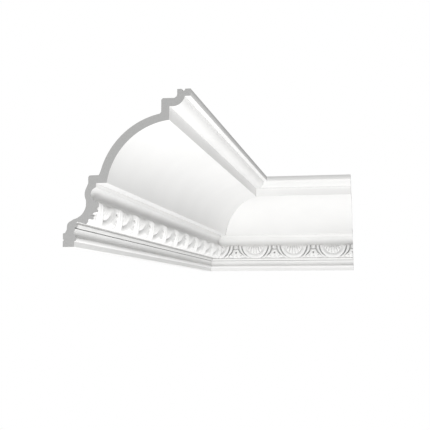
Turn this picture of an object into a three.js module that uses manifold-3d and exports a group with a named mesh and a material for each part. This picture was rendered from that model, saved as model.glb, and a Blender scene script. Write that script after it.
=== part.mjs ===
// Ornamental cornice at an inside room corner: two lengths of one moulding, mitred together.
// Millimetres, +Z up. The left length lies on the left wall and runs towards -Y from the room
// corner, the right length lies on the back wall and runs towards +X. The foot of the moulding
// is at z = 0 and its ceiling face at z = HEIGHT; the origin is under the middle of the whole.
// A length is worked out in its own frame: u (x) out from the wall, h (y) up from the foot and
// s (z) along the wall from the room corner.
import * as THREE from 'three';
import Module from 'manifold-3d';
import { mergeVertices } from 'three/addons/utils/BufferGeometryUtils.js';

// Section
const HEIGHT = 170;
const PROJECTION = 142;
const WALL_SEAT = 15; // height of the face that is glued to the wall
const CEILING_SEAT_FROM = 127.2; // the face glued to the ceiling runs from here to PROJECTION
const TOP_FILLET = 8;
const FASCIA_U = 118.4;
const FASCIA_TOP = 151.3;
const COVE = { u: 126.8, h: 58.35, r: 78.52 };
const COVE_BACK = { u: 124.5, h: 59.5, r: 85.8 };
const SHELF_H = 69.3;
const SHELF_BACK_U = 37.2;
const SCOTIA = { u: 38.3, h: 57.5, r: 7.2, lowerR: 13 };
const CARVING_FOOT = 24.8;
const OVOLO = { u: 24, h: 45.5, halfWidth: 15.7, halfHeight: 20.8 };
const GROUND_DEPTH = 4.3; // how far the ground lies behind the faces of the carving

// Enriched ovolo: one fluted shell in its two rims and one dart to each pitch
const PITCH = 75.9;
const CORNER_SHELL = 29.5; // s of the shell that is folded into the mitre
const LEFT_PITCHES = 10.5;
const RIGHT_PITCHES = 3.5;
const FLUTES = 7;
const SHELL = { a: 16.4, b: 14.6 }; // half width and drop, seen from the front
const ROLL_CREST = { a: 23.5, b: 19.5 }; // top of the roll that cups the shell
const INNER_RIM = { a: 25, b: 22.6 };
const OUTER_RIM_IN = { a: 27.6, b: 25.2 };
const OUTER_RIM_OUT = { a: 31.6, b: 27 };
const DART_EDGE = { a: 34.4, b: 29.4 };
const LIP = { middle: 46.2, rise: 2.4, halfWidth: 26 }; // top edge of the carving, dished
const CUP_DEPTH = 3.4; // how far the shell's edge lies behind the ovolo face
const SHELL_HEIGHT = 4.4; // how far the shell swells out of its cup
const SHELL_TUCK = 1.2; // how far the shell's top edge turns back
const FLUTE_DEPTH = 1.1;
const DART_HOLE = { h: 35.3, r: 2.1, depth: 5 };
const ROOT_DEPTH = 5.9; // how far the carving's bodies reach back behind its faces
const LIP_SLOPE = 2.2; // rise of the carving's top edge from front to back

// Fitting
const MITRE_GAP = 0.3; // clear gap between the two mitred faces
const SNAP = 0.005; // corners closer than this are one corner

const wasm = await Module();
wasm.setup();
const { Manifold, Mesh } = wasm;

const LEFT_LENGTH = CORNER_SHELL + LEFT_PITCHES * PITCH;
const RIGHT_LENGTH = CORNER_SHELL + RIGHT_PITCHES * PITCH;

/** Points [u, h] on an arc; angles in degrees, both ends included. */
function arc(u, h, r, from, to, steps) {
  return Array.from({ length: steps + 1 }, (_, i) => {
    const t = THREE.MathUtils.degToRad(from + ((to - from) * i) / steps);
    return [u + r * Math.cos(t), h + r * Math.sin(t)];
  });
}

/** Angle in degrees of a point as seen from a centre, 0 to 360. */
function bearing(u, h, centre) {
  return (THREE.MathUtils.radToDeg(Math.atan2(h - centre.h, u - centre.u)) + 360) % 360;
}

/** Face line of the ovolo: distance from the wall at height h. */
function ovoloFace(h) {
  const t = Math.min(1, Math.max(0, (OVOLO.h - h) / OVOLO.halfHeight));
  return OVOLO.u + OVOLO.halfWidth * Math.sqrt(1 - t * t);
}

/** Room side of the section, from the ceiling edge down to the foot. */
function frontLine() {
  const round = { u: 122.5, h: 164.7, r: 13.45 };
  const soffit = HEIGHT - TOP_FILLET;
  const roundFrom = bearing(135.7, soffit, round);
  const coveFrom = bearing(FASCIA_U, 136.4, COVE);
  const coveTo = bearing(49.05, SHELF_H, COVE);
  const turn = 205; // where the small scotia arc passes into the flatter one
  const lower = SCOTIA.lowerR - SCOTIA.r;
  const turnRad = THREE.MathUtils.degToRad(turn);
  const flat = { u: SCOTIA.u - lower * Math.cos(turnRad), h: SCOTIA.h - lower * Math.sin(turnRad) };
  const groundSteps = 3;
  const ground = Array.from({ length: groundSteps + 1 }, (_, i) => {
    const h = OVOLO.h - (OVOLO.h - CARVING_FOOT) * Math.sin((Math.PI / 2) * (i / groundSteps));
    return [ovoloFace(h) - GROUND_DEPTH, h];
  });
  return [
    [PROJECTION, HEIGHT],
    [PROJECTION, soffit],
    ...arc(round.u, round.h, round.r, roundFrom, 270, 6),
    [FASCIA_U, FASCIA_TOP],
    ...arc(COVE.u, COVE.h, COVE.r, coveFrom, coveTo, 16),
    [SHELF_BACK_U, SHELF_H],
    ...arc(SCOTIA.u, SCOTIA.h, SCOTIA.r, 102, turn, 7),
    ...arc(flat.u, flat.h, SCOTIA.lowerR, turn, 230.5, 2).slice(1),
    ...ground,
    [17.6, CARVING_FOOT],
    [16.3, 20.3],
    [11.6, 20.2],
    ...arc(20.8, 18, 9.2, 180, 235.6, 4),
    ...arc(12.4, 9.3, 3.4, 12, -78, 4),
    [13, 5.6],
    [13, 0],
  ];
}

/** Hidden side of the section, from the foot up to the ceiling edge. */
function backLine() {
  const coveFrom = bearing(42, 82, COVE_BACK);
  const coveTo = bearing(107.8, 143.7, COVE_BACK);
  return [
    [0, 0],
    [0, 6.2],
    [0.9, 6.8],
    [0.9, 8],
    [0, 8.6],
    [0, WALL_SEAT],
    [2.3, 15.2],
    [4.2, 18.6],
    [4.7, 24.5],
    [6.4, 27],
    ...arc(8.4, 47.4, 17.5, -78, 0, 6),
    ...arc(SCOTIA.u, SCOTIA.h, 14.2, 207, 152, 4),
    [28, 69.4],
    [28, 76.4],
    [29.4, 78],
    [40, 78.2],
    ...arc(COVE_BACK.u, COVE_BACK.h, COVE_BACK.r, coveFrom, coveTo, 8),
    [109.5, 145.6],
    [109.5, 158.9],
    [111.3, 160.6],
    [124.2, 160.4],
    [126.6, 162.2],
    [CEILING_SEAT_FROM, 164.4],
    [CEILING_SEAT_FROM, HEIGHT],
    [132.2, HEIGHT],
    [133, 167.9],
    [135.2, 167.9],
    [136, HEIGHT],
  ];
}

/** A closed geometry as a solid that can be joined and cut. */
function solidOf(geometry) {
  geometry.deleteAttribute('normal');
  geometry.deleteAttribute('uv');
  const merged = mergeVertices(geometry, 1e-4);
  return new Manifold(new Mesh({
    numProp: 3,
    vertProperties: Float32Array.from(merged.attributes.position.array),
    triVerts: Uint32Array.from(merged.index.array),
  }));
}

/** A closed skin as a geometry; its quads and triangles run clockwise as seen from outside. */
function skinGeometry(points, quads) {
  const geometry = new THREE.BufferGeometry();
  geometry.setAttribute('position', new THREE.Float32BufferAttribute(points.flat(), 3));
  geometry.setIndex(quads.flatMap(([a, b, c, d]) => (d === undefined ? [a, c, b] : [a, c, b, a, d, c])));
  return geometry;
}

/** The plain moulding, from the room corner to the far end. */
function plainRun(length) {
  const outline = new THREE.Shape([...frontLine(), ...backLine()].map(([u, h]) => new THREE.Vector2(u, h)));
  return solidOf(new THREE.ExtrudeGeometry(outline, { depth: length, steps: 1, bevelEnabled: false }));
}

/** Height of the dished top edge of the carving, a being measured from the shell's middle. */
function lipAt(a) {
  return LIP.middle + LIP.rise * Math.min(1, (a / LIP.halfWidth) ** 2);
}

/**
 * A body of the carving laid on rings about the middle of a shell's top edge. Each ring
 * gives its half width, its drop and how far its surface stands in front of the ovolo face.
 * With a hub the innermost ring closes on the middle, sunk by that depth.
 */
function ringBody(centre, rings, from, to, steps, hub = 0) {
  const width = steps + 1;
  const face = [];
  const root = [];
  rings.forEach((ring) => {
    for (let j = 0; j <= steps; j += 1) {
      const t = THREE.MathUtils.degToRad(from + ((to - from) * j) / steps);
      const a = ring.a * Math.cos(t);
      const h = lipAt(a) - ring.b * Math.sin(t);
      const line = ovoloFace(Math.max(h, CARVING_FOOT - 0.2));
      face.push([line + ring.stand(j, Math.sin(t)), h, centre + a]);
      root.push([line - ROOT_DEPTH, h + (h > 44 ? LIP_SLOPE : 0), centre + a]);
    }
  });
  const n = face.length;
  const points = [...face, ...root];
  const quads = [];
  for (let i = 0; i + 1 < rings.length; i += 1) {
    const p = i * width;
    const q = p + steps;
    for (let j = p; j < q; j += 1) {
      quads.push([j, j + 1, j + width + 1, j + width]);
      quads.push([n + j, n + j + width, n + j + width + 1, n + j + 1]);
    }
    quads.push([p, p + width, n + p + width, n + p], [q, n + q, n + q + width, q + width]);
  }
  const last = (rings.length - 1) * width;
  for (let j = 0; j < steps; j += 1) {
    const p = last + j;
    quads.push([p, p + 1, n + p + 1, n + p]);
    if (!hub) quads.push([j + 1, j, n + j, n + j + 1]);
  }
  if (hub) {
    const line = ovoloFace(lipAt(0));
    const middle = points.push([line - hub, lipAt(0), centre]) - 1;
    const behind = points.push([line - ROOT_DEPTH, lipAt(0) + LIP_SLOPE, centre]) - 1;
    for (let j = 0; j < steps; j += 1) quads.push([middle, j + 1, j], [behind, n + j, n + j + 1]);
    quads.push([middle, 0, n, behind], [middle, behind, n + steps, steps]);
  }
  return solidOf(skinGeometry(points, quads));
}

/** The fluted shell that swells out of its cup, with the roll that closes round it. */
function shellBody(centre) {
  const middle = 0.62; // where the ring of flutes lies between the hub and the shell's edge
  const swell = SHELL_HEIGHT * Math.sqrt(1 - middle * middle) - CUP_DEPTH;
  const rings = [
    { a: SHELL.a * middle, b: SHELL.b * middle, stand: (j) => swell - (j % 2 === 0 ? FLUTE_DEPTH : 0) },
    { ...SHELL, stand: () => -CUP_DEPTH },
    { ...ROLL_CREST, stand: (_, drop) => 0.8 + 1.3 * drop },
    { ...INNER_RIM, stand: (_, drop) => -0.5 + 0.8 * drop },
  ];
  return ringBody(centre, rings, 0, 180, 2 * FLUTES, CUP_DEPTH + SHELL_TUCK - SHELL_HEIGHT);
}

/** The outer rim on one side of a shell; side is -1 or 1. */
function outerRim(centre, side) {
  const mid = { a: 0.5 * (OUTER_RIM_IN.a + OUTER_RIM_OUT.a), b: 0.5 * (OUTER_RIM_IN.b + OUTER_RIM_OUT.b) };
  const rings = [
    { ...OUTER_RIM_IN, stand: () => -0.8 },
    { ...mid, stand: () => 0.6 },
    { ...OUTER_RIM_OUT, stand: () => -0.8 },
  ];
  return side > 0 ? ringBody(centre, rings, 0, 64, 4) : ringBody(centre, rings, 116, 180, 4);
}

/** The dart between two shells: a leaf that widens downwards, notched, with a drilled hole. */
function dartBody(centre) {
  const levels = [48.2, 45, 41.9, 41, 39.6, 33.4, 29, CARVING_FOOT - 0.4];
  const sunk = [0.8, -0.6, -0.2, 1.5, -0.5, 0, -0.6, 0.2];
  const columns = [-1, 0, 1];
  const halfWidth = (h) => {
    const t = Math.min(0.985, (LIP.middle + LIP.rise - h) / DART_EDGE.b);
    return PITCH / 2 - DART_EDGE.a * Math.sqrt(1 - t * t);
  };
  const lay = (place) => levels.flatMap((h, i) => columns.map((c) => place(h, i, c)));
  const face = lay((h, i, c) => {
    const round = Math.abs(c) === 1 ? 2.8 : 0;
    return [ovoloFace(h) - sunk[i] - round, h, centre + c * halfWidth(h)];
  });
  const root = lay((h, i, c) => {
    const line = ovoloFace(Math.max(h, CARVING_FOOT - 0.2));
    return [line - ROOT_DEPTH, h + (i === 0 ? LIP_SLOPE / 2 : 0), centre + c * halfWidth(h)];
  });
  const w = columns.length;
  const n = face.length;
  const quads = [];
  for (let p = 0; p + w < n; p += w) {
    for (let j = p; j + 1 < p + w; j += 1) {
      quads.push([j, j + w, j + w + 1, j + 1], [n + j, n + j + 1, n + j + w + 1, n + j + w]);
    }
    const q = p + w - 1;
    quads.push([p, n + p, n + p + w, p + w], [q, q + w, n + q + w, n + q]);
  }
  for (let j = 0; j + 1 < w; j += 1) {
    const b = n - w + j;
    quads.push([j, j + 1, n + j + 1, n + j], [b, n + b, n + b + 1, b + 1]);
  }
  return solidOf(skinGeometry([...face, ...root], quads)).subtract(drilledHole(centre));
}

/** The drill's bore in a dart, pointed at the bottom. */
function drilledHole(centre) {
  const mouth = ovoloFace(DART_HOLE.h) + 2;
  const depth = DART_HOLE.depth + 2;
  const bore = new THREE.ConeGeometry(DART_HOLE.r, depth, 6);
  bore.rotateZ(Math.PI / 2);
  bore.translate(mouth - depth / 2, DART_HOLE.h, centre);
  return solidOf(bore);
}

/** One length in its own frame, mitred at the room corner and cut square at its far end. */
function lengthSolid(pitches) {
  const length = CORNER_SHELL + pitches * PITCH;
  const carving = [];
  for (let k = 0; k < pitches; k += 1) {
    const centre = CORNER_SHELL + k * PITCH;
    carving.push(shellBody(centre), outerRim(centre, -1), outerRim(centre, 1));
    carving.push(dartBody(centre + PITCH / 2));
  }
  return plainRun(length)
    .add(Manifold.union(carving).trimByPlane([0, 1, 0], CARVING_FOOT).trimByPlane([0, 0, -1], -length))
    .trimByPlane([-Math.SQRT1_2, 0, Math.SQRT1_2], MITRE_GAP / 2);
}

/** Geometry of a solid, or of its mirror image along the wall. */
function geometryOf(solid, mirrored) {
  const mesh = solid.getMesh();
  const geometry = new THREE.BufferGeometry();
  geometry.setAttribute('position', new THREE.Float32BufferAttribute(mesh.vertProperties, 3));
  geometry.setIndex(Array.from(mesh.triVerts));
  if (mirrored) {
    geometry.scale(1, 1, -1);
    geometry.setIndex(Array.from(geometry.index.array).reverse());
  }
  const merged = mergeVertices(geometry, SNAP);
  const corners = Array.from(merged.index.array);
  const kept = [];
  for (let i = 0; i < corners.length; i += 3) {
    const [a, b, c] = corners.slice(i, i + 3);
    if (a !== b && b !== c && c !== a) kept.push(a, b, c);
  }
  merged.setIndex(kept);
  return merged;
}

/** A named length of cornice in white primed moulding. */
function lengthMesh(name, geometry) {
  const primer = new THREE.MeshStandardMaterial({ color: '#f3f2ee', roughness: 0.62, metalness: 0 });
  const mesh = new THREE.Mesh(geometry, primer);
  mesh.name = name;
  return mesh;
}

const leftLength = lengthMesh('left_length', geometryOf(lengthSolid(LEFT_PITCHES), false));
const rightLength = lengthMesh('right_length', geometryOf(lengthSolid(RIGHT_PITCHES), true));
leftLength.rotation.x = Math.PI / 2;
rightLength.rotation.x = Math.PI / 2;
const backWallSide = new THREE.Group();
backWallSide.rotation.z = -Math.PI / 2;
backWallSide.add(rightLength);

const cornice = new THREE.Group();
cornice.name = 'ornamental_cornice';
cornice.position.set(-RIGHT_LENGTH / 2, LEFT_LENGTH / 2, 0);
cornice.add(leftLength, backWallSide);

export default cornice;
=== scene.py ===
"""Ornamental cornice at an inside room corner: two mitred lengths with a carved band.

Everything is in metres in the row frame: +Z up to the ceiling, +Y towards the back wall and
+X away from the left wall. A length is first made in its own frame, where X is the distance
out from the wall (u), Y the distance along the wall from the room corner (s) and Z the
height above the foot (h), and is then laid on its wall.
"""

import logging
import math
from dataclasses import dataclass, field
from enum import Enum

import bmesh
import bpy
from mathutils import Matrix, Vector


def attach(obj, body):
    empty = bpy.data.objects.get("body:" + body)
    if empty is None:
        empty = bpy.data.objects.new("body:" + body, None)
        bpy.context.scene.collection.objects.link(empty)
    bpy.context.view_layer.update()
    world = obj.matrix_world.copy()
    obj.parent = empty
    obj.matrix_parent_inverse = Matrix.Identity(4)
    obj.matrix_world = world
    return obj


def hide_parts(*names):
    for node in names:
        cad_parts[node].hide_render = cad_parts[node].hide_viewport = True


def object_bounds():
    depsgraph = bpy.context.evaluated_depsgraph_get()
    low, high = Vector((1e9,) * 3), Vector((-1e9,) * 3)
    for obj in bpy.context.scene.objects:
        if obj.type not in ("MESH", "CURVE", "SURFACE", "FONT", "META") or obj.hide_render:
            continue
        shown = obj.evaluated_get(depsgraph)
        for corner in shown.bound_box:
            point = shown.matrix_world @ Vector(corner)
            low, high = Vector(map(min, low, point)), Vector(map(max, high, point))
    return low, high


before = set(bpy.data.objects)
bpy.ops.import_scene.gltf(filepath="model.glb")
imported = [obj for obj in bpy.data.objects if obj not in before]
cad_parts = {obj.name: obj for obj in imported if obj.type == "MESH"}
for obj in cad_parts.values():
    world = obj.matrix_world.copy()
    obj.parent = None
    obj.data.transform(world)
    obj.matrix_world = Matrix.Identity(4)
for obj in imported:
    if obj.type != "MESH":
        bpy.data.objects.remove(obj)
CAD_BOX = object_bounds()

MM = 0.001
LOG = logging.getLogger("cornice")

# Tolerances, in metres.
SECTION_WELD = 2e-5
BAND_WELD = 8e-6
CUT_WELD = 1e-6
RUNS_ALONG = 1e-4
SAME_PLACE = 1e-5
ON_SEAM = 2e-4


class Side(Enum):
    """The wall that a length lies on."""

    LEFT = "left"
    RIGHT = "right"


class Surface(Enum):
    """Which finish a face of the moulding has; the value is its material slot."""

    FACE = 0
    BACK = 1
    CUT = 2


def smooth_step(value: float) -> float:
    """Eases a share from 0 to 1.

    Args:
        value: The share, held between 0 and 1 first.

    Returns:
        The eased share.
    """
    t = min(1.0, max(0.0, value))
    return t * t * (3.0 - 2.0 * t)


def blend(a: float, b: float, share: float) -> float:
    """Returns the value that lies the given share of the way from a to b."""
    return a + (b - a) * share


def runs_along(edge: bmesh.types.BMEdge) -> bool:
    """Returns whether an edge runs along the wall, not across the section."""
    return abs(edge.verts[0].co.y - edge.verts[1].co.y) > RUNS_ALONG


@dataclass(frozen=True)
class Arc:
    """A round part of the section, in millimetres and degrees, angles from +u towards +h."""

    u: float
    h: float
    radius: float
    start: float
    end: float
    steps: int

    def first(self) -> tuple[float, float]:
        """Returns the point that the arc starts from."""
        return self.at(self.start)

    def last(self) -> tuple[float, float]:
        """Returns the point that the arc ends at."""
        return self.at(self.end)

    def at(self, degrees: float) -> tuple[float, float]:
        """Returns the point of the arc's circle at an angle."""
        angle = math.radians(degrees)
        return self.u + self.radius * math.cos(angle), self.h + self.radius * math.sin(angle)


class Outline:
    """A line of edges that grows in the section plane from one vertex."""

    def __init__(self, mesh: bmesh.types.BMesh, u: float, h: float) -> None:
        """Starts the line.

        Args:
            mesh: The mesh that takes the line.
            u: Distance of the first vertex out from the wall, in millimetres.
            h: Height of the first vertex, in millimetres.
        """
        self.mesh = mesh
        self.tip = mesh.verts.new((u * MM, 0.0, h * MM))

    def to(self, u: float, h: float) -> None:
        """Draws a straight edge on to a point.

        Args:
            u: Distance of the point out from the wall, in millimetres.
            h: Height of the point, in millimetres.
        """
        made = bmesh.ops.extrude_vert_indiv(self.mesh, verts=[self.tip])
        self.tip = made["verts"][0]
        step = Vector((u * MM, 0.0, h * MM)) - self.tip.co
        bmesh.ops.translate(self.mesh, vec=step, verts=[self.tip])

    def line(self, points: list[tuple[float, float]]) -> None:
        """Draws straight edges on through points in millimetres."""
        for u, h in points:
            self.to(u, h)

    def arc(self, arc: Arc) -> None:
        """Draws on to the start of an arc and then spins round it.

        Args:
            arc: The arc to draw.
        """
        self.to(*arc.first())
        made = bmesh.ops.spin(
            self.mesh,
            geom=[self.tip],
            cent=(arc.u * MM, 0.0, arc.h * MM),
            axis=(0.0, -1.0, 0.0),
            angle=math.radians(arc.end - arc.start),
            steps=arc.steps,
            use_duplicate=False,
        )
        self.tip = next(v for v in made["geom_last"] if isinstance(v, bmesh.types.BMVert))


@dataclass
class Section:
    """The section of the plain moulding, in millimetres.

    The line leaves out the carved band: it starts where the band ends, under the carving,
    and goes round the foot, the back, the ceiling edge and the front down to the band.
    """

    height: float = 170.0
    projection: float = 142.0
    seat_height: float = 15.0
    carving_foot: tuple[float, float] = (15.9, 27.6)
    cavetto: Arc = Arc(19.2, 15.3, 6.5, 136.0, 234.0, 16)
    bead: Arc = Arc(12.4, 9.3, 3.4, 12.0, -78.0, 12)
    back_hollow: Arc = Arc(8.4, 47.4, 17.5, -78.0, 0.0, 14)
    back_round: Arc = Arc(38.3, 57.5, 14.2, 207.0, 152.0, 10)
    back_cove: Arc = Arc(124.5, 59.5, 85.8, 164.74, 101.22, 28)
    top_round: Arc = Arc(122.5, 164.7, 13.45, 348.4, 270.0, 16)
    cove: Arc = Arc(126.8, 58.35, 78.52, 96.14, 171.99, 72)
    scotia: Arc = Arc(38.3, 57.5, 7.2, 102.0, 205.0, 20)
    scotia_foot: Arc = Arc(43.5566, 59.9512, 13.0, 205.0, 230.5, 6)
    arris: float = 0.35
    arris_turn: float = 24.0

    def draw(
        self, mesh: bmesh.types.BMesh
    ) -> tuple[list[bmesh.types.BMEdge], set[bmesh.types.BMEdge]]:
        """Draws the section line.

        Args:
            mesh: The empty mesh that takes the line.

        Returns:
            The edges of the line in order, and those of them on the hidden side.
        """
        pen = Outline(mesh, *self.carving_foot)
        pen.line([(15.0, 24.7), (17.3, 24.2), (16.3, 20.9), (16.05, 20.4), (15.5, 20.4)])
        pen.line([(14.9, 21.4), (13.2, 21.4), (13.2, 20.2)])
        pen.arc(self.cavetto)
        pen.arc(self.bead)
        pen.line([(13.0, 5.6), (13.0, 0.0), (0.0, 0.0)])
        shown = len(mesh.edges)
        pen.line([(0.0, 6.2), (0.9, 6.8), (0.9, 8.0), (0.0, 8.6), (0.0, self.seat_height)])
        pen.line([(2.3, 15.2), (4.2, 18.6), (4.7, 24.5), (6.4, 27.0)])
        pen.arc(self.back_hollow)
        pen.arc(self.back_round)
        pen.line([(28.0, 69.4), (28.0, 76.4), (29.4, 78.0), (40.0, 78.2)])
        pen.arc(self.back_cove)
        pen.line([(109.5, 145.6), (109.5, 158.9), (111.3, 160.6), (124.2, 160.4)])
        pen.line([(126.6, 162.2), (127.2, 164.4), (127.2, 170.0), (132.2, 170.0)])
        pen.line([(133.0, 167.9), (135.2, 167.9), (136.0, 170.0)])
        mesh.edges.ensure_lookup_table()
        hidden = set(mesh.edges[shown:])
        pen.line([(self.projection, self.height), (self.projection, 162.0), (135.9, 162.0)])
        pen.arc(self.top_round)
        pen.line([(118.4, 151.3), (118.4, 136.6)])
        pen.arc(self.cove)
        pen.line([(37.2, 69.3)])
        pen.arc(self.scotia)
        pen.arc(self.scotia_foot)
        bmesh.ops.remove_doubles(mesh, verts=mesh.verts, dist=SECTION_WELD)
        hidden = {edge for edge in hidden if edge.is_valid}
        return list(mesh.edges), hidden


@dataclass
class Carving:
    """The enriched ovolo: a fluted shell in two rims and a drilled dart to each pitch.

    Sizes are in millimetres. Across the band, a is the distance from the middle of a shell.
    """

    pitch: float = 75.9
    corner_shell: float = 29.5
    ovolo_u: float = 24.0
    ovolo_h: float = 45.5
    ovolo_half_width: float = 15.7
    ovolo_half_height: float = 20.8
    foot: float = 24.8
    lip_middle: float = 46.2
    lip_rise: float = 2.4
    lip_half_width: float = 26.0
    flutes: int = 7
    top_trim: float = 0.6
    shell: tuple[float, float] = (16.4, 14.6)
    roll_crest: tuple[float, float] = (23.7, 19.6)
    inner_rim: tuple[float, float] = (25.1, 22.6)
    outer_rim_in: tuple[float, float] = (27.3, 24.8)
    outer_rim_out: tuple[float, float] = (31.6, 27.0)
    dart_edge: tuple[float, float] = (34.4, 29.6)
    cup_depth: float = 2.4
    shell_height: float = 4.4
    hinge_rise: float = 18.0
    flute_depth: float = 4.2
    flute_top: float = 0.6
    flute_gain: float = 1.6
    tuck_depth: float = 1.2
    tuck_drop: float = 5.0
    crest_height: float = 0.8
    crest_rise: float = 1.3
    rim_height: float = -0.5
    rim_rise: float = 0.8
    outer_height: float = -0.8
    outer_hump: float = 1.6
    foot_height: float = -2.4
    groove_depth: float = 4.2
    inner_groove_share: float = 0.75
    dart_height: float = 0.9
    dart_fall: float = 3.3
    notch_height: float = 41.4
    notch_depth: float = 3.6
    notch_slope: float = 0.22
    notch_half: float = 1.7
    hole_height: float = 35.3
    hole_radius: float = 2.1
    hole_depth: float = 5.0
    hole_ease: float = 0.9
    hole_lip: float = 0.55
    valley_foot: tuple[float, float] = (29.3, 2.5)
    valley_head: tuple[float, float] = (33.5, 1.5)
    valley_depth: float = 2.1
    valley_width: float = 1.6
    lobe_place: tuple[float, float] = (4.9, 29.6)
    lobe_spread: float = 2.6
    lobe_height: float = 0.9
    pits: tuple[float, float] = (0.0, 8.9)
    pit_height: float = 27.2
    pit_spread: tuple[float, float] = (1.9, 1.7)
    pit_depth: float = 4.6
    top_set_back: float = 0.3
    top_set_back_share: float = 0.0625
    upright_above: float = 37.0
    turn_over: float = 9.0
    measures: int = 200
    columns: int = 152
    top_rows: int = 5
    face_rows: int = 46
    foot_rows: int = 3
    face_line: list[tuple[float, float]] = field(default_factory=list)

    def __post_init__(self) -> None:
        """Measures the round of the ovolo once, as pairs of length and angle."""
        last = math.asin(min(1.0, (self.ovolo_h - self.foot) / self.ovolo_half_height))
        length = 0.0
        before = self.round_point(0.0)
        for i in range(self.measures + 1):
            angle = last * i / self.measures
            here = self.round_point(angle)
            length += math.dist(before, here)
            before = here
            self.face_line.append((length, angle))

    def round_point(self, angle: float) -> tuple[float, float]:
        """Returns the point of the ovolo's round at an angle below its widest place."""
        return (
            self.ovolo_u + self.ovolo_half_width * math.cos(angle),
            self.ovolo_h - self.ovolo_half_height * math.sin(angle),
        )

    def lip(self, a: float) -> float:
        """Returns the height of the dished top edge at a distance from a shell's middle."""
        return self.lip_middle + self.lip_rise * min(1.0, (a / self.lip_half_width) ** 2)

    def face_point(self, a: float, share: float) -> tuple[Vector, Vector]:
        """Finds a place on the uncut face of the ovolo.

        Args:
            a: Distance from the shell's middle.
            share: Share of the way from the top edge, 0, to the foot, 1.

        Returns:
            The point as (u, h), and the way in which relief stands out from it.
        """
        top = self.lip(a) - self.top_trim
        upright = top - self.ovolo_h
        along = share * (upright + self.face_line[-1][0])
        if along <= upright:
            return Vector((self.ovolo_u + self.ovolo_half_width, top - along)), Vector((1.0, 0.0))
        rest = along - upright
        place = min(self.measures - 1, int(self.measures * rest / self.face_line[-1][0]))
        while place < self.measures - 1 and self.face_line[place + 1][0] < rest:
            place += 1
        while place > 0 and self.face_line[place][0] > rest:
            place -= 1
        (l0, a0), (l1, a1) = self.face_line[place], self.face_line[place + 1]
        angle = blend(a0, a1, (rest - l0) / (l1 - l0))
        point = Vector(self.round_point(angle))
        across, down = math.cos(angle), math.sin(angle)
        square = Vector((across / self.ovolo_half_width, -down / self.ovolo_half_height))
        lean = smooth_step((self.upright_above - point.y) / self.turn_over)
        way = Vector((1.0, 0.0)).lerp(square.normalized(), lean)
        return point, way.normalized()

    def fan(self, a: float, drop: float, ring: float) -> float:
        """Works out the fluted shell that swells out of its cup.

        Args:
            a: Distance from the shell's middle.
            drop: Distance below the top edge.
            ring: 0 at the middle of the top edge and 1 at the edge of the shell.

        Returns:
            How far the surface stands in front of the ovolo.
        """
        spread = 2.0 * math.atan2(self.shell[0], self.hinge_rise) / self.flutes
        turn = math.atan2(a, self.hinge_rise + drop) / spread + self.flutes / 2
        across = 2.0 * (turn - math.floor(turn)) - 1.0
        lobe = math.sqrt(max(0.0, 1.0 - across * across))
        flute = self.flute_depth * (1.0 - lobe) * blend(self.flute_top, 1.0, drop / self.shell[1])
        swell = math.sqrt(max(0.0, 1.0 - ring * ring))
        tuck = self.tuck_depth * (1.0 - smooth_step(drop / self.tuck_drop)) * (1.0 - ring)
        flute *= min(1.0, self.flute_gain * swell)
        return -self.cup_depth + self.shell_height * swell - flute - tuck

    def dart(self, across: float, h: float) -> float:
        """Works out the dart between two shells.

        Args:
            across: Distance from the dart's middle.
            h: Height above the foot of the moulding.

        Returns:
            How far the surface stands in front of the ovolo.
        """
        share = min(0.985, (self.lip_middle + self.lip_rise - h) / self.dart_edge[1])
        half = self.pitch / 2 - self.dart_edge[0] * math.sqrt(max(0.0, 1.0 - share * share))
        stand = self.dart_height - self.dart_fall * min(1.0, across / half) ** 1.4
        from_notch = abs(h - self.notch_height - self.notch_slope * across)
        stand -= self.notch_depth * max(0.0, 1.0 - from_notch / self.notch_half)
        away = math.hypot(across, h - self.hole_height)
        wall = smooth_step((away - self.hole_radius + self.hole_lip) / self.hole_ease)
        stand -= self.hole_depth * (1.0 - wall)
        rise = smooth_step((h - self.valley_foot[0]) / self.valley_foot[1])
        valley = rise * (1.0 - smooth_step((h - self.valley_head[0]) / self.valley_head[1]))
        stand -= self.valley_depth * math.exp(-((across / self.valley_width) ** 2)) * valley
        aside = (across - self.lobe_place[0]) / self.lobe_spread
        above = (h - self.lobe_place[1]) / self.lobe_spread
        stand += self.lobe_height * math.exp(-(aside**2) - above**2)
        for pit in self.pits:
            aside = (across - pit) / self.pit_spread[0]
            above = (h - self.pit_height) / self.pit_spread[1]
            stand -= self.pit_depth * math.exp(-(aside**2) - above**2)
        return stand

    def relief(self, a: float, h: float) -> float:
        """Works out how far the carving stands in front of the uncut face.

        Args:
            a: Signed distance from the middle of the nearest shell.
            h: Height above the foot of the moulding.

        Returns:
            The distance in millimetres, below 0 where the carving is cut in.
        """
        x = abs(a)
        drop = max(0.0, self.lip(a) - h)
        edges = (
            self.shell,
            self.roll_crest,
            self.inner_rim,
            self.outer_rim_in,
            self.outer_rim_out,
            self.dart_edge,
        )
        rings = [math.hypot(x / half, drop / deep) for half, deep in edges]
        inside = next((i for i, ring in enumerate(rings) if ring <= 1.0), len(rings))
        if inside == 0:
            return self.fan(a, drop, rings[0])
        if inside == len(rings):
            return self.dart(self.pitch / 2 - x, h)
        outer, inner = rings[inside], rings[inside - 1]
        share = (inner - 1.0) / (inner - outer)
        low = drop / (edges[inside][1] * outer)
        hump = math.sin(math.pi * share)
        crest = self.crest_height + self.crest_rise * low
        rim = self.rim_height + self.rim_rise * low
        if inside == 1:
            return blend(-self.cup_depth, crest, math.sin(math.pi / 2 * share) ** 1.3)
        if inside == 2:
            return blend(rim, crest, math.cos(math.pi / 2 * share))
        if inside == 3:
            groove = self.inner_groove_share * self.groove_depth * hump**0.7
            return blend(rim, self.outer_height, share) - groove
        if inside == 4:
            return self.outer_height + self.outer_hump * hump**0.7
        groove = self.groove_depth * hump**0.5
        return blend(self.outer_height, self.foot_height, share) - groove

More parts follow.
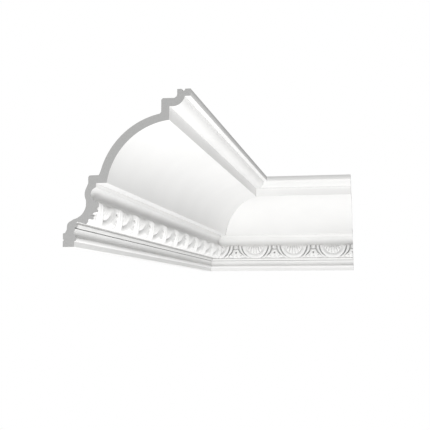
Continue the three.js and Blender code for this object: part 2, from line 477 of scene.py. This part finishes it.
    def surface(self, a: float, row: int) -> tuple[float, float]:
        """Places one vertex of the band.

        Args:
            a: Signed distance from the middle of the nearest shell.
            row: Row of the vertex, 0 at the top of the band.

        Returns:
            The point as (u, h) in millimetres.
        """
        head, foot = Section.scotia_foot.last(), Section.carving_foot
        if row < self.top_rows:
            point, way = self.face_point(a, 0.0)
            edge = point + way * (self.relief(a, point.y) - self.top_set_back)
            share = row / self.top_rows
            return blend(head[0], edge.x, share), blend(head[1], edge.y, share**1.3)
        last = self.top_rows + self.face_rows
        share = min(1.0, (row - self.top_rows) / self.face_rows)
        point, way = self.face_point(a, share)
        set_back = self.top_set_back * (1.0 - smooth_step(share / self.top_set_back_share))
        point = point + way * (self.relief(a, point.y) - set_back)
        point.y = max(point.y, self.foot)
        if row <= last:
            return point.x, point.y
        share = (row - last) / self.foot_rows
        return blend(point.x, foot[0], share), blend(point.y, foot[1], share)

    def stations(self, pitches: float) -> list[tuple[float, float, int]]:
        """Lists the stretches of a length, in order from the room corner.

        Args:
            pitches: How many pitches the length has beyond the corner shell's middle.

        Returns:
            For each stretch its start and end along the wall and its number of columns.
        """
        first = self.corner_shell
        found = [(0.0, first, round(self.columns * first / self.pitch))]
        halves = round(pitches * 2)
        for k in range(0, halves, 2):
            parts = min(2, halves - k)
            end = first + parts * self.pitch / 2
            found.append((first, end, self.columns * parts // 2))
            first = end
        return found

    def lay(self, mesh: bmesh.types.BMesh, pitches: float) -> None:
        """Adds the carved band to a mesh as a grid that the relief shapes.

        Args:
            mesh: The mesh of the moulding.
            pitches: How many pitches the length has beyond the corner shell's middle.
        """
        places = [0.0]
        for start, end, count in self.stations(pitches):
            places += [blend(start, end, (i + 1) / count) for i in range(count)]
        columns = len(places) - 1
        rows = self.top_rows + self.face_rows + self.foot_rows
        made = bmesh.ops.create_grid(mesh, x_segments=columns, y_segments=rows, size=0.5)
        for vertex in made["verts"]:
            column = round((vertex.co.x + 0.5) * columns)
            row = round((0.5 - vertex.co.y) * rows)
            s = places[column]
            a = (s - self.corner_shell + self.pitch / 2) % self.pitch - self.pitch / 2
            u, h = self.surface(a, row)
            vertex.co = (u * MM, s * MM, h * MM)


@dataclass(frozen=True)
class Primer:
    """Smooth matt white primer on moulded polyurethane, with painted shade that greys it in deep
    recesses.
    """

    name: str = "primed_white_painted_shade"
    colour: tuple[float, float, float] = (0.8, 0.798, 0.79)
    shade: float = 0.975
    roughness: float = 0.58
    grain: float = 650.0
    relief: float = 0.05
    # Painted shade: where ambient occlusion within the reach finds a deep recess, the colour is
    # darkened towards this share of itself.
    painted_shade_tone: float = 0.3
    painted_shade_reach: float = 0.003
    painted_shade_range: tuple[float, float] = (0.15, 0.78)
    cloud_scale: float = 14.0
    cloud_range: tuple[float, float] = (0.35, 0.65)
    gloss_range: tuple[float, float] = (-0.06, 0.08)
    grain_height: float = 0.0004

    def material(self) -> bpy.types.Material:
        """Makes the finish.

        Returns:
            A material of nodes on object coordinates, with painted shade: ambient occlusion greys it in
            deep recesses.
        """
        made = bpy.data.materials.new(self.name)
        made.use_nodes = True
        nodes, links = made.node_tree.nodes, made.node_tree.links
        shader = nodes["Principled BSDF"]
        shader.inputs["Specular IOR Level"].default_value = 0.35
        place = nodes.new("ShaderNodeTexCoord")
        cloud = nodes.new("ShaderNodeTexNoise")
        cloud.inputs["Scale"].default_value = self.cloud_scale
        cloud.inputs["Detail"].default_value = 4.0
        tone = nodes.new("ShaderNodeValToRGB")
        tone.color_ramp.elements[0].position = self.cloud_range[0]
        tone.color_ramp.elements[0].color = (*(c * self.shade for c in self.colour), 1.0)
        tone.color_ramp.elements[1].position = self.cloud_range[1]
        tone.color_ramp.elements[1].color = (*self.colour, 1.0)
        # Painted shade: an ambient occlusion node darkens the base colour in deep recesses, where shade
        # falls.
        painted_shade_occlusion = nodes.new("ShaderNodeAmbientOcclusion")
        painted_shade_occlusion.only_local = True
        painted_shade_occlusion.samples = 8
        painted_shade_occlusion.inputs["Distance"].default_value = self.painted_shade_reach
        painted_shade_mask = nodes.new("ShaderNodeMapRange")
        painted_shade_mask.inputs["From Min"].default_value = self.painted_shade_range[0]
        painted_shade_mask.inputs["From Max"].default_value = self.painted_shade_range[1]
        tone_with_painted_shade = nodes.new("ShaderNodeMix")
        tone_with_painted_shade.data_type = "RGBA"
        tone_with_painted_shade.inputs["A"].default_value = (*(c * self.painted_shade_tone for c in self.colour), 1.0)
        grain = nodes.new("ShaderNodeTexNoise")
        grain.inputs["Scale"].default_value = self.grain
        grain.inputs["Detail"].default_value = 3.0
        gloss = nodes.new("ShaderNodeMapRange")
        gloss.inputs["To Min"].default_value = self.roughness + self.gloss_range[0]
        gloss.inputs["To Max"].default_value = self.roughness + self.gloss_range[1]
        bump = nodes.new("ShaderNodeBump")
        bump.inputs["Strength"].default_value = self.relief
        bump.inputs["Distance"].default_value = self.grain_height
        links.new(place.outputs["Object"], cloud.inputs["Vector"])
        links.new(place.outputs["Object"], grain.inputs["Vector"])
        links.new(cloud.outputs["Fac"], tone.inputs["Fac"])
        links.new(painted_shade_occlusion.outputs["AO"], painted_shade_mask.inputs["Value"])
        links.new(painted_shade_mask.outputs["Result"], tone_with_painted_shade.inputs["Factor"])
        links.new(tone.outputs["Color"], tone_with_painted_shade.inputs["B"])
        links.new(tone_with_painted_shade.outputs["Result"], shader.inputs["Base Color"])
        links.new(cloud.outputs["Fac"], gloss.inputs["Value"])
        links.new(gloss.outputs["Result"], shader.inputs["Roughness"])
        links.new(grain.outputs["Fac"], bump.inputs["Height"])
        links.new(bump.outputs["Normal"], shader.inputs["Normal"])
        return made


@dataclass(frozen=True)
class CutFoam:
    """Sawn face of the dense foam, grey-white with fine closed cells."""

    name: str = "cut_foam"
    colour: tuple[float, float, float] = (0.49, 0.49, 0.485)
    cell_colour: tuple[float, float, float] = (0.42, 0.42, 0.415)
    cells: float = 900.0
    cell_range: tuple[float, float] = (0.05, 0.5)
    cell_height: float = 0.0003
    cell_strength: float = 0.35

    def material(self) -> bpy.types.Material:
        """Makes the finish.

        Returns:
            A material of nodes on object coordinates.
        """
        made = bpy.data.materials.new(self.name)
        made.use_nodes = True
        nodes, links = made.node_tree.nodes, made.node_tree.links
        shader = nodes["Principled BSDF"]
        shader.inputs["Roughness"].default_value = 0.9
        shader.inputs["Specular IOR Level"].default_value = 0.2
        place = nodes.new("ShaderNodeTexCoord")
        cells = nodes.new("ShaderNodeTexVoronoi")
        cells.inputs["Scale"].default_value = self.cells
        tone = nodes.new("ShaderNodeValToRGB")
        tone.color_ramp.elements[0].position = self.cell_range[0]
        tone.color_ramp.elements[0].color = (*self.cell_colour, 1.0)
        tone.color_ramp.elements[1].position = self.cell_range[1]
        tone.color_ramp.elements[1].color = (*self.colour, 1.0)
        bump = nodes.new("ShaderNodeBump")
        bump.inputs["Strength"].default_value = self.cell_strength
        bump.inputs["Distance"].default_value = self.cell_height
        links.new(place.outputs["Object"], cells.inputs["Vector"])
        links.new(cells.outputs["Distance"], tone.inputs["Fac"])
        links.new(tone.outputs["Color"], shader.inputs["Base Color"])
        links.new(cells.outputs["Distance"], bump.inputs["Height"])
        links.new(bump.outputs["Normal"], shader.inputs["Normal"])
        return made


@dataclass
class CorniceLength:
    """One length of the cornice, mitred at the room corner and cut square at its far end."""

    side: Side
    pitches: float
    section: Section = field(default_factory=Section)
    carving: Carving = field(default_factory=Carving)
    mitre_gap: float = 0.3
    crease_turn: float = 32.0
    crease_length: float = 10.0

    @property
    def node(self) -> str:
        """Name of the solid that this length stands for."""
        return f"{self.side.value}_length"

    @property
    def length(self) -> float:
        """Length along the wall in millimetres."""
        return self.carving.corner_shell + self.pitches * self.carving.pitch

    def run_out(self, mesh: bmesh.types.BMesh) -> None:
        """Pulls the section line along the wall, stretch by stretch, and eases its arrises.

        Args:
            mesh: The empty mesh that takes the plain moulding.
        """
        edges, hidden = self.section.draw(mesh)
        for start, end, _ in self.carving.stations(self.pitches):
            made = bmesh.ops.extrude_edge_only(mesh, edges=edges)["geom"]
            verts = [v for v in made if isinstance(v, bmesh.types.BMVert)]
            bmesh.ops.translate(mesh, vec=(0.0, (end - start) * MM, 0.0), verts=verts)
            fresh = [e for e in made if isinstance(e, bmesh.types.BMEdge)]
            moved = set(verts)
            edges = [e for e in fresh if all(v in moved for v in e.verts)]
        back = {self.shadow(edge) for edge in hidden}
        for face in mesh.faces:
            finish = Surface.BACK if self.shadow(face) in back else Surface.FACE
            face.material_index = finish.value
        turn = math.radians(self.section.arris_turn)
        arrises = [
            edge
            for edge in mesh.edges
            if len(edge.link_faces) == 2 and edge.calc_face_angle(0.0) > turn and runs_along(edge)
        ]
        bmesh.ops.bevel(
            mesh,
            geom=arrises,
            offset=self.section.arris * MM,
            offset_type="OFFSET",
            affect="EDGES",
            segments=2,
            profile=0.5,
            material=-1,
            clamp_overlap=True,
        )

    @staticmethod
    def shadow(item: bmesh.types.BMEdge | bmesh.types.BMFace) -> tuple[int, int]:
        """Returns the middle of an edge or face, seen along the wall, in hundredths of a millimetre."""
        middle = sum((v.co for v in item.verts), Vector()) / len(item.verts)
        return round(middle.x * 1e5), round(middle.z * 1e5)

    def join_band(self, mesh: bmesh.types.BMesh) -> None:
        """Adds the carved band and sews its two long sides to the plain moulding.

        Args:
            mesh: The mesh of the plain moulding, open along the band.
        """
        for start, end, count in self.carving.stations(self.pitches):
            middle = (start + end) / 2 * MM
            seams = [edge for edge in mesh.edges if self.is_seam(edge, middle)]
            bmesh.ops.subdivide_edges(mesh, edges=seams, cuts=count - 1)
        self.carving.lay(mesh, self.pitches)
        bmesh.ops.remove_doubles(mesh, verts=mesh.verts, dist=BAND_WELD)

    def is_seam(self, edge: bmesh.types.BMEdge, middle: float) -> bool:
        """Tells whether the band is sewn to an edge of the plain moulding.

        Args:
            edge: The edge.
            middle: Distance of the stretch's middle from the room corner, in metres.

        Returns:
            True for an open edge along that stretch where the band's top or foot comes.
        """
        one, two = (vertex.co for vertex in edge.verts)
        if len(edge.link_faces) != 1 or not runs_along(edge):
            return False
        if abs((one.y + two.y) / 2 - middle) >= SAME_PLACE:
            return False
        lines = (self.section.carving_foot, self.section.scotia_foot.last())
        return any(math.dist((one.x, one.z), (u * MM, h * MM)) < ON_SEAM for u, h in lines)

    def cut_ends(self, mesh: bmesh.types.BMesh) -> None:
        """Saws the mitre and closes both ends.

        Args:
            mesh: The open mesh of the length.
        """
        everything = [*mesh.verts, *mesh.edges, *mesh.faces]
        square = Vector((-1.0, 1.0, 0.0)).normalized()
        bmesh.ops.bisect_plane(
            mesh,
            geom=everything,
            dist=CUT_WELD,
            plane_co=square * (self.mitre_gap / 2 * MM),
            plane_no=square,
            clear_inner=True,
        )
        rims = [edge for edge in mesh.edges if edge.is_boundary]
        made = bmesh.ops.holes_fill(mesh, edges=rims, sides=0)
        for face in made["faces"]:
            face.material_index = Surface.CUT.value

    def finish_edges(self, mesh: bmesh.types.BMesh) -> None:
        """Shades the faces smooth, with a crease at each end and in each sharp corner.

        Args:
            mesh: The closed mesh of the length.
        """
        for face in mesh.faces:
            face.smooth = face.material_index != Surface.CUT.value
        for edge in mesh.edges:
            kinds = {face.material_index for face in edge.link_faces}
            sharp = edge.calc_face_angle(0.0) > math.radians(self.crease_turn)
            creased = sharp and edge.calc_length() > self.crease_length * MM
            edge.smooth = not (creased or Surface.CUT.value in kinds)

    def place(self) -> Matrix:
        """Works out how the length is laid on its wall.

        Returns:
            The transform from the length's own frame to the row frame.
        """
        low, high = CAD_BOX
        corner = Matrix.Translation((low.x, high.y, 0.0))
        if self.side is Side.LEFT:
            return corner @ Matrix.Scale(-1.0, 4, (0.0, 1.0, 0.0))
        return corner @ Matrix.Rotation(math.radians(-90.0), 4, "Z")

    def build(self, finishes: list[bpy.types.Material]) -> bpy.types.Object:
        """Makes the length and fits it to the frame.

        Args:
            finishes: The materials for the face, the back and the cut ends.

        Returns:
            The finished object.
        """
        mesh = bmesh.new()
        self.run_out(mesh)
        self.join_band(mesh)
        self.cut_ends(mesh)
        bmesh.ops.transform(mesh, matrix=self.place(), verts=mesh.verts)
        bmesh.ops.recalc_face_normals(mesh, faces=mesh.faces)
        self.finish_edges(mesh)
        open_edges = sum(1 for edge in mesh.edges if not edge.is_manifold)
        data = bpy.data.meshes.new(f"{self.side.value}_cornice")
        mesh.to_mesh(data)
        mesh.free()
        for finish in finishes:
            data.materials.append(finish)
        piece = bpy.data.objects.new(data.name, data)
        bpy.context.scene.collection.objects.link(piece)
        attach(piece, "root")
        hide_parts(self.node)
        triangles = sum(len(p.vertices) - 2 for p in data.polygons)
        LOG.info("%s: %d triangles, %d open edges", piece.name, triangles, open_edges)
        return piece


@dataclass
class Studio:
    """A plain pale floor, soft light mostly from below and the front, and the camera."""

    floor_drop: float = 1.8
    floor_size: float = 10.0
    floor_glow: float = 0.8
    sky_light: float = 0.2
    lamp_place: tuple[float, float, float] = (0.6, -1.7, -1.0)
    lamp_aim: tuple[float, float, float] = (0.0, 0.0, 0.08)
    lamp_size: float = 0.5
    lamp_power: float = 25.0
    lens: float = 72.62
    camera_place: tuple[float, float, float] = (0.184603, -1.312935, -0.057179)
    camera_pitch: float = 95.578
    camera_yaw: float = 10.293

    def floor(self) -> None:
        """Lays the floor, which gives back soft light from below."""
        mesh = bmesh.new()
        bmesh.ops.create_grid(mesh, x_segments=4, y_segments=4, size=self.floor_size / 2)
        bmesh.ops.translate(mesh, vec=(0.0, 0.0, -self.floor_drop), verts=mesh.verts)
        data = bpy.data.meshes.new("floor")
        mesh.to_mesh(data)
        mesh.free()
        made = bpy.data.materials.new("floor_white")
        made.use_nodes = True
        shader = made.node_tree.nodes["Principled BSDF"]
        shader.inputs["Base Color"].default_value = (0.9, 0.9, 0.9, 1.0)
        shader.inputs["Roughness"].default_value = 0.9
        shader.inputs["Emission Color"].default_value = (1.0, 1.0, 1.0, 1.0)
        shader.inputs["Emission Strength"].default_value = self.floor_glow
        data.materials.append(made)
        ground = bpy.data.objects.new("floor", data)
        bpy.context.scene.collection.objects.link(ground)

    def sky(self) -> None:
        """Sets a white surround that lights the object less brightly than it looks."""
        world = bpy.data.worlds.new("surround")
        world.use_nodes = True
        nodes, links = world.node_tree.nodes, world.node_tree.links
        back = nodes["Background"]
        back.inputs["Color"].default_value = (1.0, 1.0, 1.0, 1.0)
        path = nodes.new("ShaderNodeLightPath")
        level = nodes.new("ShaderNodeMapRange")
        level.inputs["To Min"].default_value = self.sky_light
        level.inputs["To Max"].default_value = 1.0
        links.new(path.outputs["Is Camera Ray"], level.inputs["Value"])
        links.new(level.outputs["Result"], back.inputs["Strength"])
        bpy.context.scene.world = world

    def lamp(self) -> None:
        """Adds a soft square lamp that the camera doesn't see."""
        light = bpy.data.lights.new("key", "AREA")
        light.shape = "SQUARE"
        light.size = self.lamp_size
        light.energy = self.lamp_power
        lamp = bpy.data.objects.new("key", light)
        lamp.location = self.lamp_place
        way = Vector(self.lamp_aim) - Vector(self.lamp_place)
        lamp.rotation_euler = way.to_track_quat("-Z", "Y").to_euler()
        lamp.visible_camera = False
        bpy.context.scene.collection.objects.link(lamp)

    def camera(self) -> None:
        """Sets up the camera at the photograph's place and angle."""
        data = bpy.data.cameras.new("camera")
        data.lens = self.lens
        data.sensor_width = 36.0
        data.clip_start, data.clip_end = 0.01, 100.0
        camera = bpy.data.objects.new("camera", data)
        camera.location = self.camera_place
        camera.rotation_euler = (math.radians(self.camera_pitch), 0.0, math.radians(self.camera_yaw))
        bpy.context.scene.collection.objects.link(camera)
        bpy.context.scene.camera = camera

    def build(self) -> None:
        """Builds the whole studio."""
        self.floor()
        self.sky()
        self.lamp()
        self.camera()
        bpy.context.scene.view_settings.view_transform = "Standard"


def main() -> None:
    """Builds both lengths and the studio."""
    logging.basicConfig(level=logging.INFO, format="%(name)s: %(message)s")
    # Both primer finishes carry the painted shade in deep recesses.
    primer = Primer().material()
    back = Primer(
        name="primed_back_painted_shade",
        colour=(0.80, 0.79, 0.765),
        shade=0.93,
        roughness=0.72,
        grain=420.0,
        relief=0.18,
    )
    finishes = [primer, back.material(), CutFoam().material()]
    for length in (CorniceLength(Side.LEFT, 10.5), CorniceLength(Side.RIGHT, 3.5)):
        length.build(finishes)
    Studio().build()


if __name__ == "__main__":
    main()
